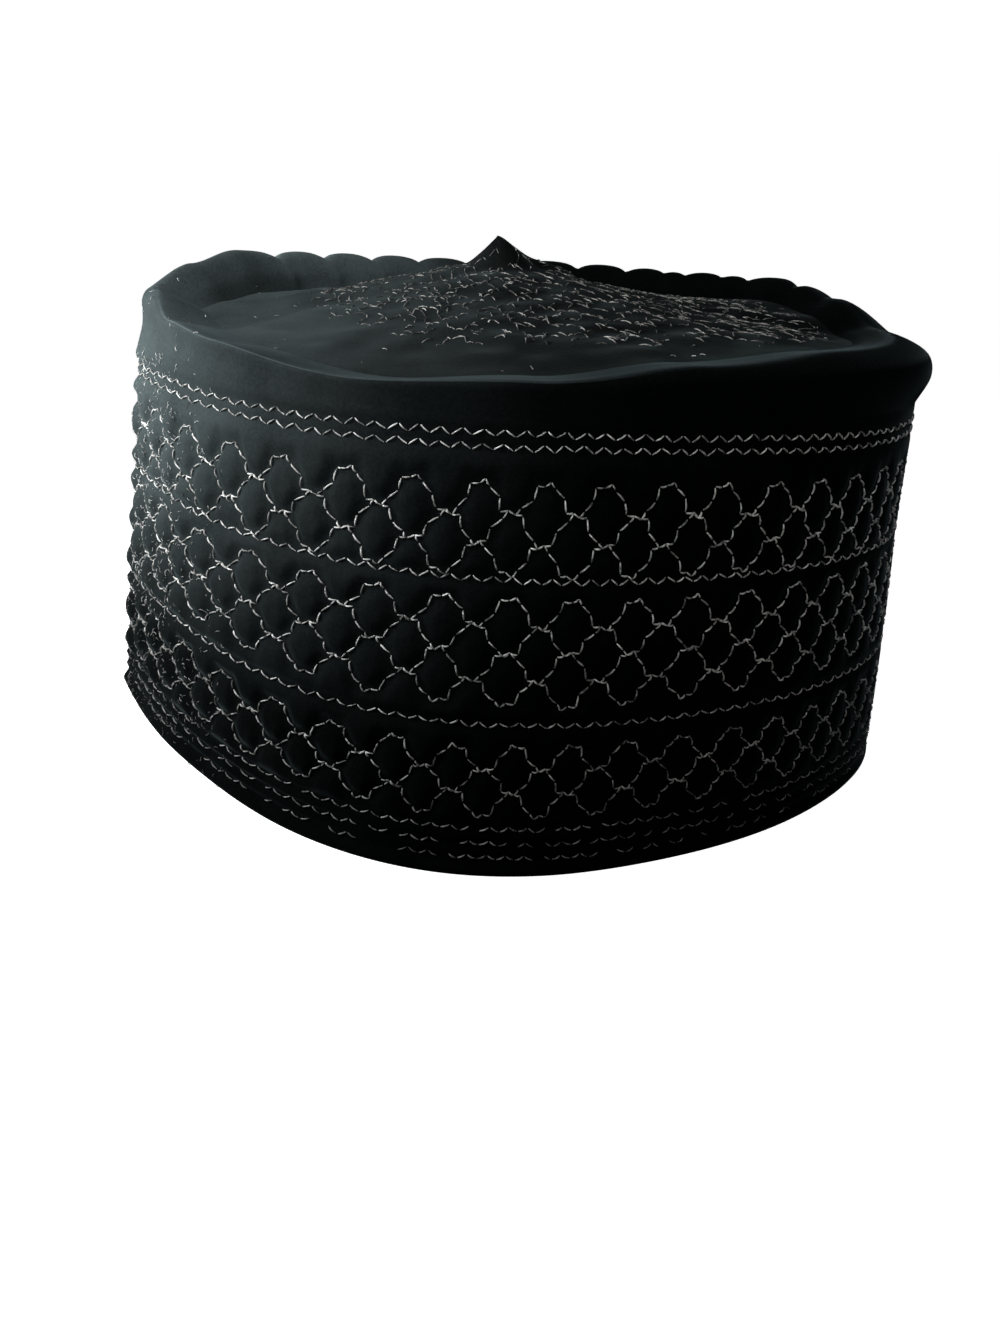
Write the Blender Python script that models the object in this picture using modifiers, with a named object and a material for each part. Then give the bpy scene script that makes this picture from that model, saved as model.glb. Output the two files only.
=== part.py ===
# Prayer cap of black velvet: a padded quilted band, a soft rim roll gathered at the back and a
# crown that rises to a pinched peak. It stands on its hem on z = 0, long axis along X, front at -Y.
import math
from bisect import bisect_right
from collections import namedtuple

import bmesh
import bpy
from mathutils import Vector

# Plan: full sizes of the outer outline at the hem and at the top of the band, in metres, and how far
# the top has slumped to the right
FOOT_LENGTH = 0.2168
FOOT_DEPTH = 0.1725
TOP_LENGTH = 0.1960
TOP_DEPTH = 0.1625
TOP_SHIFT = 0.0017

# Power of the plan at its two ends: 0.5 is half an ellipse, more draws the end to a point
LEFT_END_POWER = 0.94
RIGHT_END_POWER = 0.36

# Band
BAND_HEIGHT = 0.0972
BAND_WALL = 0.003
PUFF_DEPTH = 0.0013
SMOOTH_END_SHARE = 0.15
HEM_ROUNDING = 0.0004

# Rim roll, standing on the band
ROLL_CLOTH = 0.0015
ROLL_SEAT = 0.002
ROLL_WIDTH = 0.016
ROLL_HEIGHT = 0.0240
ROLL_DROP = 0.0110
ROLL_REACH = 0.0030
PLEAT_DEPTH = 0.0013

# Crown, inside the roll
CROWN_CLOTH = 0.0015
CROWN_RISE = 0.0098
PEAK_X = -0.002
PEAK_Y = 0.040
PEAK_RISE = 0.0091
RIDGE_RISE = 0.0030
RIDGE_LENGTH = 0.024
RIDGE_HALF_WIDTH = 0.006

# Clearance between pieces that touch
GAP = 0.0003

# Cloths: linear colour and roughness
QUILTED_BLACK = (0.012, 0.013, 0.016)
QUILTED_ROUGHNESS = 0.85
PLAIN_BLACK = (0.010, 0.010, 0.012)
PLAIN_ROUGHNESS = 0.80
STITCHED_BLACK = (0.020, 0.020, 0.022)
STITCHED_ROUGHNESS = 0.90

# Points round the band, from one pleat to the next, round the unpleated rest of the top, and round the
# fine outline that all are spaced on
BAND_SEGMENTS = 64
POINTS_PER_PLEAT = 3
PLAIN_SEGMENTS = 50
OUTLINE_SAMPLES = 720

# Quilted panels of the band: where each starts and ends, in shares of the band's height, and how many
# rows of puffed cells it holds
Panel = namedtuple("Panel", "foot top puffs")
PANELS = (
    Panel(foot=0.12, top=0.36, puffs=2),
    Panel(foot=0.37, top=0.68, puffs=3),
    Panel(foot=0.69, top=0.93, puffs=2),
)
# One puffed cell row from groove to groove: share of its height, and share of the full swell
PuffRow = namedtuple("PuffRow", "share swell")
PUFF_SHAPE = (
    PuffRow(share=0.00, swell=0.00),
    PuffRow(share=0.28, swell=0.85),
    PuffRow(share=0.72, swell=0.85),
)
# Heights of the plain inner face's rings, from the top down, in shares of the band's height
LINING_ROWS = (1.0, 0.67, 0.33, 0.0)

# The rim roll round the cap: bearing in degrees seen from above, 0 at the right end and 90 at the back,
# then shares of the roll's height, of its drop to the crown's seam, of its reach over the band's edge
# and of the pleats' depth
RollStation = namedtuple("RollStation", "bearing height drop reach pleat")
ROLL_STATIONS = (
    RollStation(bearing=-165, height=0.32, drop=0.16, reach=-0.5, pleat=0.0),
    RollStation(bearing=-145, height=0.27, drop=0.14, reach=-0.2, pleat=0.0),
    RollStation(bearing=-118, height=0.18, drop=0.11, reach=0.0, pleat=0.0),
    RollStation(bearing=-95, height=0.28, drop=0.10, reach=0.0, pleat=0.0),
    RollStation(bearing=-75, height=0.42, drop=0.10, reach=0.0, pleat=0.0),
    RollStation(bearing=-50, height=0.52, drop=0.12, reach=0.1, pleat=0.0),
    RollStation(bearing=-12, height=0.60, drop=0.25, reach=1.0, pleat=0.0),
    RollStation(bearing=5, height=0.84, drop=0.45, reach=1.0, pleat=0.5),
    RollStation(bearing=25, height=1.00, drop=0.60, reach=0.7, pleat=1.0),
    RollStation(bearing=45, height=1.00, drop=0.70, reach=0.4, pleat=1.0),
    RollStation(bearing=75, height=1.00, drop=0.50, reach=0.3, pleat=1.0),
    RollStation(bearing=105, height=0.95, drop=0.60, reach=0.3, pleat=1.0),
    RollStation(bearing=135, height=0.95, drop=0.90, reach=0.1, pleat=1.0),
    RollStation(bearing=160, height=0.94, drop=0.95, reach=-0.2, pleat=1.0),
    RollStation(bearing=172, height=0.80, drop=0.80, reach=-0.4, pleat=0.4),
    RollStation(bearing=182, height=0.54, drop=0.40, reach=-0.5, pleat=0.0),
)

# Pleats that gather the roll at the back: turn of each from the middle of the back, as a share of the
# whole round, positive by the left end, and share of the pleats' depth
Pleat = namedtuple("Pleat", "turn depth")
PLEATS = (
    Pleat(turn=-0.230, depth=0.6),
    Pleat(turn=-0.200, depth=0.9),
    Pleat(turn=-0.164, depth=0.8),
    Pleat(turn=-0.146, depth=0.6),
    Pleat(turn=-0.122, depth=0.7),
    Pleat(turn=-0.108, depth=0.6),
    Pleat(turn=-0.083, depth=0.9),
    Pleat(turn=-0.050, depth=1.0),
    Pleat(turn=-0.013, depth=0.8),
    Pleat(turn=0.025, depth=0.8),
    Pleat(turn=0.058, depth=0.9),
    Pleat(turn=0.092, depth=1.0),
    Pleat(turn=0.128, depth=1.0),
    Pleat(turn=0.166, depth=1.0),
)

# Section of the rim roll, from its seat on the band over the crest to the crown's seam: shares of the
# roll's width, reach, height and drop, and of the pleats' depth
RollRow = namedtuple("RollRow", "inward reach rise drop pleat")
ROLL_SECTION = (
    RollRow(inward=0.00, reach=0.8, rise=0.03, drop=0.0, pleat=0.0),
    RollRow(inward=0.00, reach=1.0, rise=0.40, drop=0.0, pleat=0.5),
    RollRow(inward=0.13, reach=0.9, rise=0.78, drop=0.0, pleat=0.9),
    RollRow(inward=0.50, reach=0.2, rise=1.00, drop=0.0, pleat=1.0),
    RollRow(inward=0.82, reach=0.0, rise=1.00, drop=0.45, pleat=0.7),
    RollRow(inward=1.00, reach=0.0, rise=1.00, drop=1.0, pleat=0.0),
)

# Rings of the crown from its seam in to the tip of the peak: share of the way out from the peak, share
# of the crown's own rise and share of the peak's rise
CrownRow = namedtuple("CrownRow", "share rise peak")
CROWN_RINGS = (
    CrownRow(share=1.00, rise=0.00, peak=0.00),
    CrownRow(share=0.93, rise=0.03, peak=0.00),
    CrownRow(share=0.82, rise=0.11, peak=0.00),
    CrownRow(share=0.68, rise=0.25, peak=0.00),
    CrownRow(share=0.53, rise=0.45, peak=0.00),
    CrownRow(share=0.38, rise=0.70, peak=0.00),
    CrownRow(share=0.25, rise=0.90, peak=0.00),
    CrownRow(share=0.14, rise=0.99, peak=0.08),
    CrownRow(share=0.07, rise=1.00, peak=0.45),
)


def clear_scene():
    for item in list(bpy.data.objects):
        bpy.data.objects.remove(item, do_unlink=True)


def velvet(name, colour, roughness):
    material = bpy.data.materials.new(name)
    material.use_nodes = True
    shader = material.node_tree.nodes["Principled BSDF"]
    shader.inputs["Base Color"].default_value = (*colour, 1.0)
    shader.inputs["Roughness"].default_value = roughness
    shader.inputs["Metallic"].default_value = 0.0
    return material


def fine_outline():
    """Plan outline in a box of -1 to 1, from the right end anticlockwise, in many small steps."""
    points = []
    for step in range(OUTLINE_SAMPLES):
        angle = 2.0 * math.pi * step / OUTLINE_SAMPLES
        along = math.cos(angle)
        across = math.sin(angle)
        power = LEFT_END_POWER + (RIGHT_END_POWER - LEFT_END_POWER) * (1.0 + along) / 2.0
        points.append((along, math.copysign(abs(across) ** (2.0 * power), across)))
    return points


def walked_outline():
    """The fine outline, closed, and the distance walked round the top of the band to each of its points."""
    fine = fine_outline()
    fine.append(fine[0])
    walked = [0.0]
    for here, there in zip(fine, fine[1:]):
        step = math.hypot((there[0] - here[0]) * TOP_LENGTH, (there[1] - here[1]) * TOP_DEPTH)
        walked.append(walked[-1] + step)
    return fine, walked


def outline_through(turns):
    """Points of the outline at the given turns from the right end, as shares of the whole round."""
    fine, walked = walked_outline()
    points = []
    for turn in turns:
        target = turn % 1.0 * walked[-1]
        index = bisect_right(walked, target) - 1
        share = (target - walked[index]) / (walked[index + 1] - walked[index])
        here = fine[index]
        there = fine[index + 1]
        points.append((here[0] + share * (there[0] - here[0]), here[1] + share * (there[1] - here[1])))
    return points


def top_outline():
    """Points for the rings of the roll and the crown, and the depth of the pleat that each lies on."""
    walked = walked_outline()[1]
    back = walked[OUTLINE_SAMPLES // 4] / walked[-1]
    starts = [back + pleat.turn for pleat in PLEATS]
    stops = starts[1:] + [starts[0] + 1.0]
    turns = []
    depths = []
    for pleat, start, stop in zip(PLEATS, starts, stops):
        steps = PLAIN_SEGMENTS if pleat is PLEATS[-1] else POINTS_PER_PLEAT
        for step in range(steps):
            turns.append(start + (stop - start) * step / steps)
            depths.append(0.0 if step else pleat.depth)
    return outline_through(turns), depths


def outward_normals(outline, half_length, half_depth):
    """Unit normals of the outline at the given half sizes, pointing out of the cap."""
    count = len(outline)
    normals = []
    for index in range(count):
        before = outline[index - 1]
        after = outline[(index + 1) % count]
        run = Vector(((after[0] - before[0]) * half_length, (after[1] - before[1]) * half_depth))
        normals.append(Vector((run.y, -run.x)).normalized())
    return normals


def wall_ring(outline, height, inset, swell):
    """Ring of the band at a height: set in along its normals, swollen by its puffs towards the left end."""
    share = height / BAND_HEIGHT
    half_length = 0.5 * (FOOT_LENGTH + share * (TOP_LENGTH - FOOT_LENGTH))
    half_depth = 0.5 * (FOOT_DEPTH + share * (TOP_DEPTH - FOOT_DEPTH))
    ring = []
    for (x, y), normal in zip(outline, outward_normals(outline, half_length, half_depth)):
        puff = SMOOTH_END_SHARE + (1.0 - SMOOTH_END_SHARE) * (0.5 - 0.5 * x)
        outward = swell * puff * PUFF_DEPTH - inset
        ring.append(Vector((
            share * TOP_SHIFT + x * half_length + outward * normal.x,
            y * half_depth + outward * normal.y,
            height,
        )))
    return ring


def skin(name, rings, wrap, tip=None):
    """Mesh through rings of equal count. Wrap joins the last ring to the first, tip closes it in a fan."""
    shape = bmesh.new()
    loops = [[shape.verts.new(point) for point in ring] for ring in rings]
    pairs = list(zip(loops, loops[1:]))
    if wrap:
        pairs.append((loops[-1], loops[0]))
    for lower, upper in pairs:
        for index in range(len(lower)):
            after = (index + 1) % len(lower)
            shape.faces.new((lower[index], lower[after], upper[after], upper[index]))
    if tip is not None:
        point = shape.verts.new(tip)
        last = loops[-1]
        for index in range(len(last)):
            shape.faces.new((last[index], last[(index + 1) % len(last)], point))
    mesh = bpy.data.meshes.new(name)
    shape.to_mesh(mesh)
    shape.free()
    mesh.shade_smooth()
    return mesh


def add_piece(name, mesh, material, collection):
    piece = bpy.data.objects.new(name, mesh)
    mesh.materials.append(material)
    collection.objects.link(piece)
    return piece


def add_cloth(piece, thickness):
    """Gives an open surface its thickness, inwards from the face that shows."""
    cloth = piece.modifiers.new("cloth", "SOLIDIFY")
    cloth.thickness = thickness
    cloth.offset = -1.0


def band_rings():
    """Rings up the quilted outer face and down the plain inner one: height, inset and swell of each."""
    rows = [(0.0, HEM_ROUNDING, 0.0), (HEM_ROUNDING, 0.0, 0.0)]
    for panel in PANELS:
        height = (panel.top - panel.foot) * BAND_HEIGHT / panel.puffs
        for puff in range(panel.puffs):
            groove = panel.foot * BAND_HEIGHT + puff * height
            rows += [(groove + share * height, 0.0, swell) for share, swell in PUFF_SHAPE]
        rows.append((panel.top * BAND_HEIGHT, 0.0, 0.0))
    rows += [(BAND_HEIGHT - HEM_ROUNDING, 0.0, 0.0), (BAND_HEIGHT, HEM_ROUNDING, 0.0)]
    rows += [(BAND_HEIGHT * share, BAND_WALL, 0.0) for share in LINING_ROWS]
    outline = outline_through([step / BAND_SEGMENTS for step in range(BAND_SEGMENTS)])
    return [wall_ring(outline, *row) for row in rows]


def station_at(x, y):
    """The rim roll's shares in one direction, eased between the two stations beside it."""
    bearing = math.degrees(math.atan2(y, x))
    last = ROLL_STATIONS[-1]
    before = last._replace(bearing=last.bearing - 360.0)
    if bearing < before.bearing:
        bearing += 360.0
    for after in ROLL_STATIONS + (ROLL_STATIONS[0]._replace(bearing=ROLL_STATIONS[0].bearing + 360.0),):
        if bearing <= after.bearing:
            break
        before = after
    share = (bearing - before.bearing) / (after.bearing - before.bearing)
    share = share * share * (3.0 - 2.0 * share)
    return RollStation(*(low + share * (high - low) for low, high in zip(before, after)))


def roll_ring(outline, depths, row):
    """One ring of the rim roll, with a notch at each point that lies on a pleat."""
    ring = []
    for (x, y), depth in zip(outline, depths):
        station = station_at(x, y)
        notch = row.pleat * station.pleat * depth * PLEAT_DEPTH
        inset = row.inward * ROLL_WIDTH - row.reach * station.reach * ROLL_REACH + notch
        rise = row.rise * station.height * ROLL_HEIGHT
        fall = row.drop * station.drop * ROLL_DROP
        ring.append(Vector((
            TOP_SHIFT + x * (0.5 * TOP_LENGTH - inset),
            y * (0.5 * TOP_DEPTH - inset),
            BAND_HEIGHT + GAP + rise - fall - notch,
        )))
    return ring


def roll_rings():
    outline, depths = top_outline()
    rings = [roll_ring(outline, depths, row) for row in ROLL_SECTION]
    seat = [
        Vector((point.x - x * ROLL_SEAT, point.y - y * ROLL_SEAT, BAND_HEIGHT + GAP))
        for (x, y), point in zip(outline, rings[0])
    ]
    return [seat] + rings


def ridge_rise(x, y):
    """Height of the low fold that trails from the peak to the right."""
    along = x / RIDGE_LENGTH
    if along <= 0.0 or along >= 1.0:
        return 0.0
    return RIDGE_RISE * math.sin(math.pi * along) ** 0.5 * math.exp(-((y / RIDGE_HALF_WIDTH) ** 2))


def crown_rings(seam):
    """Rings of the crown inside the roll's seam, closing in on the peak."""
    level = sum(point.z for point in seam) / len(seam)
    rings = []
    for row in CROWN_RINGS:
        ring = []
        for point in seam:
            away = Vector((point.x - PEAK_X, point.y - PEAK_Y))
            away *= (away.length - GAP) / away.length * row.share
            height = level + row.share * row.share * (point.z - level)
            height += row.rise * CROWN_RISE + row.peak * PEAK_RISE + ridge_rise(away.x, away.y)
            ring.append(Vector((PEAK_X + away.x, PEAK_Y + away.y, height)))
        rings.append(ring)
    return rings, Vector((PEAK_X, PEAK_Y, level + CROWN_RISE + PEAK_RISE))


def centre_of_box(rings):
    """Middle of the box round all rings, seen from above, for an origin at the cap's bottom centre."""
    xs = [point.x for ring in rings for point in ring]
    ys = [point.y for ring in rings for point in ring]
    return Vector((0.5 * (min(xs) + max(xs)), 0.5 * (min(ys) + max(ys)), 0.0))


def build():
    clear_scene()
    cap = bpy.data.collections.new("prayer_cap")
    bpy.context.scene.collection.children.link(cap)

    band = band_rings()
    roll = roll_rings()
    crown, tip = crown_rings(roll[-1])
    centre = centre_of_box(band + roll)
    for ring in band + roll + crown:
        for point in ring:
            point -= centre
    tip -= centre

    quilted = velvet("quilted_velvet", QUILTED_BLACK, QUILTED_ROUGHNESS)
    plain = velvet("plain_velvet", PLAIN_BLACK, PLAIN_ROUGHNESS)
    stitched = velvet("stitched_velvet", STITCHED_BLACK, STITCHED_ROUGHNESS)

    add_piece("band", skin("band", band, wrap=True), quilted, cap)
    rim_roll = add_piece("rim_roll", skin("rim_roll", roll, wrap=False), plain, cap)
    add_cloth(rim_roll, ROLL_CLOTH)
    top = add_piece("crown", skin("crown", crown, wrap=False, tip=tip), stitched, cap)
    add_cloth(top, CROWN_CLOTH)


build()
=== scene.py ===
# %% [markdown]
# A prayer cap of black velvet stands on a white table. Its side is a padded band, quilted with lattices of
# zigzag stitches, a soft roll turns over at the top, and the crown rises to a small pinched peak.
# The solids of the cap come from the imported frame. This script gives each of them its cloth and thread, so
# it starts by loading the frame, whose band's box gives the height of the band.

import math
from collections import namedtuple

import bpy
import numpy as np
from mathutils import Matrix, Vector, noise


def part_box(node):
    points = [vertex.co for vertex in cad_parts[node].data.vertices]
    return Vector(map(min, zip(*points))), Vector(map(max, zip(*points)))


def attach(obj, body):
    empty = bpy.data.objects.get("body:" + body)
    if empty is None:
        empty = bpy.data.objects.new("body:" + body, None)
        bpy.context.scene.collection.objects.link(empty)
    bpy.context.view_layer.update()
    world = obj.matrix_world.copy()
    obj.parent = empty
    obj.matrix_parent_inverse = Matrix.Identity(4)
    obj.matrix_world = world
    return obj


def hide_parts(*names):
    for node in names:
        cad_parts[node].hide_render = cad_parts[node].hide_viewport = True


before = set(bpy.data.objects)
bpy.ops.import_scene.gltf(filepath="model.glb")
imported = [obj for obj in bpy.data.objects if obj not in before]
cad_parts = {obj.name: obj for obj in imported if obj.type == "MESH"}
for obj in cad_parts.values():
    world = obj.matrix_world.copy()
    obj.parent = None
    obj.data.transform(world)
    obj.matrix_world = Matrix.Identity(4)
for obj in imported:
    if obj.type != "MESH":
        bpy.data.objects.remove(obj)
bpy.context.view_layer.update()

# %% [markdown]
# The plan of the cap is a lens with one blunt end. One formula draws it: half an ellipse has the power 0.5,
# a higher power draws an end to a point and a lower one makes it rounder. The cloth has slumped, so the top
# is smaller than the hem and sits a little to the right. Walking round the outline in equal steps keeps the
# cloth's threads evenly spaced, which a plain angle would not.

# %% Sizes of the cap and its outline
FOOT_LENGTH = 0.2168
FOOT_DEPTH = 0.1725
TOP_LENGTH = 0.1960
TOP_DEPTH = 0.1625
TOP_SHIFT = 0.0017
BAND_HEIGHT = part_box("band")[1].z
BAND_WALL = 0.003
LEFT_END_POWER = 0.94
RIGHT_END_POWER = 0.36
OUTLINE_SAMPLES = 4000
OUTLINE_POINTS = 360


def outline_at(angle):
    """Plan of the cap in a box of -1 to 1, at angles from the right end, anticlockwise."""
    along = np.cos(angle)
    across = np.sin(angle)
    power = LEFT_END_POWER + (RIGHT_END_POWER - LEFT_END_POWER) * (1.0 + along) / 2.0
    return along, np.sign(across) * np.abs(across) ** (2.0 * power)


def even_outline(count):
    """The plan as count points at equal distances, from the middle of the back round by the left end."""
    angle = math.pi / 2.0 + np.linspace(0.0, 2.0 * math.pi, OUTLINE_SAMPLES + 1)
    x, y = outline_at(angle)
    step = np.hypot(np.diff(x) * TOP_LENGTH / 2.0, np.diff(y) * TOP_DEPTH / 2.0)
    walked = np.concatenate(([0.0], np.cumsum(step)))
    even = np.interp(np.linspace(0.0, walked[-1], count + 1), walked, angle)
    x, y = outline_at(even)
    return x, y, np.linspace(0.0, walked[-1], count + 1)


def outward(x, y, half_length, half_depth):
    """Unit normals of the closed outline, pointing out of the cap."""
    open_x = x[:-1] * half_length
    open_y = y[:-1] * half_depth
    run_x = np.roll(open_x, -1) - np.roll(open_x, 1)
    run_y = np.roll(open_y, -1) - np.roll(open_y, 1)
    size = np.hypot(run_x, run_y)
    return np.append(run_y / size, run_y[0] / size[0]), np.append(-run_x / size, -run_x[0] / size[0])


x, y, walked = even_outline(OUTLINE_POINTS)
TOP_ROUND = walked[-1]
LEFT_TIP = int(np.argmin(x))
RIGHT_TIP = int(np.argmax(x))
FRONT_ARC = float(np.interp(0.0, x[LEFT_TIP:RIGHT_TIP], walked[LEFT_TIP:RIGHT_TIP]))
print("once round the top:", round(1000 * TOP_ROUND), "mm; the front is at", round(1000 * FRONT_ARC), "mm")

# %% [markdown]
# Quilting is stitched in the flat, and only then is the strip sewn into a ring. Working the same way makes
# the pattern easy: it is laid out on a flat strip in metres, and the band's UV map says where each place of
# the strip went. At the left end the strip is pulled tighter, so the cells look wider there, and near the
# top its rows have slumped a little towards both ends. This small table gives both along the way round,
# measured from the middle of the front.

# %% The strip and how it is stretched
SLUMP_POWER = 1.5
Stretch = namedtuple("Stretch", "arc width slump")
STRETCHES = (
    Stretch(arc=-0.269, width=1.00, slump=0.0000),
    Stretch(arc=-0.200, width=1.30, slump=0.0010),
    Stretch(arc=-0.134, width=1.70, slump=0.0032),
    Stretch(arc=-0.085, width=1.63, slump=0.0031),
    Stretch(arc=-0.067, width=1.45, slump=0.0024),
    Stretch(arc=-0.050, width=1.32, slump=0.0016),
    Stretch(arc=-0.035, width=1.16, slump=0.0008),
    Stretch(arc=-0.020, width=1.05, slump=0.0003),
    Stretch(arc=-0.005, width=0.96, slump=0.0000),
    Stretch(arc=0.015, width=1.02, slump=0.0000),
    Stretch(arc=0.038, width=1.06, slump=0.0005),
    Stretch(arc=0.068, width=0.98, slump=0.0015),
    Stretch(arc=0.140, width=1.00, slump=0.0010),
    Stretch(arc=0.290, width=1.00, slump=0.0000),
)


def strip_place(arc):
    """Place on the flat strip, from 0 at the middle of the back to 1, for distances round the cap."""
    fine = np.linspace(0.0, TOP_ROUND, OUTLINE_SAMPLES + 1)
    width = np.interp(fine - FRONT_ARC, [row.arc for row in STRETCHES], [row.width for row in STRETCHES])
    used = np.concatenate(([0.0], np.cumsum(1.0 / (0.5 * (width[1:] + width[:-1])))))
    return np.interp(arc, fine, used / used[-1]), used[-1] * TOP_ROUND / OUTLINE_SAMPLES


def slumped(arc, height):
    """Height on the flat strip of the cloth that now lies at a height, for distances round the cap."""
    slump = np.interp(arc - FRONT_ARC, [row.arc for row in STRETCHES], [row.slump for row in STRETCHES])
    return height + slump * (height / BAND_HEIGHT) ** SLUMP_POWER


STRIP_LENGTH = strip_place(0.0)[1]
print("flat strip:", round(1000 * STRIP_LENGTH), "mm long")

# %% [markdown]
# Three lattices and seven straight rows make up the quilting. A lattice is a few waves of stitching, one
# above the other. Each wave is shifted by half a cell, so its crests touch the troughs of the wave above and
# the cells close. A crest falls on the middle of a stitch, which makes it flat. The tables below give the
# heights of both in metres above the hem.

# %% The quilting pattern
Lattice = namedtuple("Lattice", "crest trough waves cell crest_arc")
LATTICES = (
    Lattice(crest=0.0857, trough=0.0676, waves=3, cell=0.0121, crest_arc=-0.0042),
    Lattice(crest=0.0629, trough=0.0402, waves=4, cell=0.0124, crest_arc=0.0025),
    Lattice(crest=0.0309, trough=0.0143, waves=3, cell=0.0114, crest_arc=-0.0055),
)
StitchRow = namedtuple("StitchRow", "height swing missing")
STITCH_ROWS = (
    StitchRow(height=0.0948, swing=0.00075, missing=0.00),
    StitchRow(height=0.0922, swing=0.00070, missing=0.00),
    StitchRow(height=0.0667, swing=0.00070, missing=0.00),
    StitchRow(height=0.0358, swing=0.00065, missing=0.01),
    StitchRow(height=0.0112, swing=0.00055, missing=0.12),
    StitchRow(height=0.0076, swing=0.00060, missing=0.20),
    StitchRow(height=0.0042, swing=0.00060, missing=0.40),
)
STITCH_STEP = 0.00188
CELL_STITCHES = 10
CREST_ROUNDING = 0.11
WAVE_OVERLAP = 1.14


def cells_round(lattice):
    return round(STRIP_LENGTH / lattice.cell)


def crest_start(lattice):
    """Turns of the first wave before the strip's start, so that a crest falls near the given arc."""
    turns = float(strip_place(FRONT_ARC + lattice.crest_arc)[0]) * cells_round(lattice)
    return (round(turns * CELL_STITCHES - 0.5) + 0.5) / CELL_STITCHES


def stitch_distance(strip, height):
    """Distance on the flat strip from each place to the nearest line of stitches."""
    nearest = np.full(np.broadcast(strip, height).shape, 1.0)
    for row in STITCH_ROWS:
        nearest = np.minimum(nearest, np.abs(height - row.height))
    for lattice in LATTICES:
        rise = (lattice.crest - lattice.trough) / lattice.waves
        turn = 2.0 * math.pi * (strip * cells_round(lattice) - crest_start(lattice))
        pull = math.pi * rise * cells_round(lattice) / STRIP_LENGTH
        for wave in range(lattice.waves):
            level = lattice.crest - (wave + 0.5) * rise
            angle = turn - math.pi * wave
            line = level + 0.5 * rise * (np.cos(angle) - CREST_ROUNDING * np.cos(3.0 * angle))
            slope = pull * (np.sin(angle) - 3.0 * CREST_ROUNDING * np.sin(3.0 * angle))
            nearest = np.minimum(nearest, np.abs(height - line) / np.sqrt(1.0 + slope * slope))
    return nearest


print("cells round each lattice:", [cells_round(lattice) for lattice in LATTICES])

# %% [markdown]
# Meshes of cloth here are grids: rings of points that all have the same count. One helper turns rings into
# a mesh with a UV map. The faces are listed with numpy because a fine cloth has tens of thousands of them.

# %% Helper: a grid of cloth


def corners_of(grid):
    """The values of a grid at the four corners of each of its faces."""
    return np.stack([grid[:-1, :-1], grid[:-1, 1:], grid[1:, 1:], grid[1:, :-1]], axis=-1)


def cloth_grid(name, rings, across, up, closed):
    """Mesh through rings of points, first point repeated last, with a UV map from across and up."""
    rows, columns = rings.shape[0], rings.shape[1] - 1
    index = np.arange(rows * columns).reshape(rows, columns)
    index = np.hstack([index, index[:, :1]])
    if closed:
        index = np.vstack([index, index[:1]])
        across = np.vstack([across, across[:1]])
    mesh = bpy.data.meshes.new(name)
    mesh.from_pydata(rings[:, :-1].reshape(-1, 3).tolist(), [], corners_of(index).reshape(-1, 4).tolist())
    places = np.stack([corners_of(across), corners_of(up)], axis=-1)
    mesh.uv_layers.new(name="strip").uv.foreach_set("vector", places.ravel())
    mesh.shade_smooth()
    return mesh


def show(name, mesh):
    piece = bpy.data.objects.new(name, mesh)
    bpy.context.scene.collection.objects.link(piece)
    return piece


def wavering(points, size, height, seed):
    """A soft random rise and fall for each point, over hollows of the given size."""
    shift = Vector((seed, seed, seed))
    return np.array([height * noise.noise(Vector(point) / size + shift) for point in points])


# %% [markdown]
# The band is one closed grid: up the quilted outer face and down the plain inner one. The padding pushes
# the velvet out between the stitches, and a stitch pulls it in, so the surface follows the distance to the
# nearest line of thread. Displacement does this well. A cloth simulation would find nearly the same rounded
# cells, but it would need every one of thousands of stitches pinned.

# %% The quilted band
BAND_COLUMNS = 600
BAND_ROWS = 104
QUILT_DEPTH = 0.0010
QUILT_ROUNDING = 0.0019
EVEN_PULL = 0.45
LEFT_PUFF = 1.5
RIGHT_PUFF = 0.35
HEM_ROUNDING = 0.0005
FLUSH_HEIGHT = 0.004
SAG_SIZE = 0.045
SAG_HEIGHT = 0.0008
INNER_SHARES = (1.0, 0.8, 0.6, 0.4, 0.2, 0.0)


def wall_ring(x, y, height, out):
    """Ring of the band's wall at a height, moved out along its own normals."""
    share = height / BAND_HEIGHT
    half_length = 0.5 * (FOOT_LENGTH + share * (TOP_LENGTH - FOOT_LENGTH))
    half_depth = 0.5 * (FOOT_DEPTH + share * (TOP_DEPTH - FOOT_DEPTH))
    normal_x, normal_y = outward(x, y, half_length, half_depth)
    ring_x = share * TOP_SHIFT + x * half_length + out * normal_x
    return np.stack([ring_x, y * half_depth + out * normal_y, np.full_like(x, height)], axis=-1)


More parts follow.
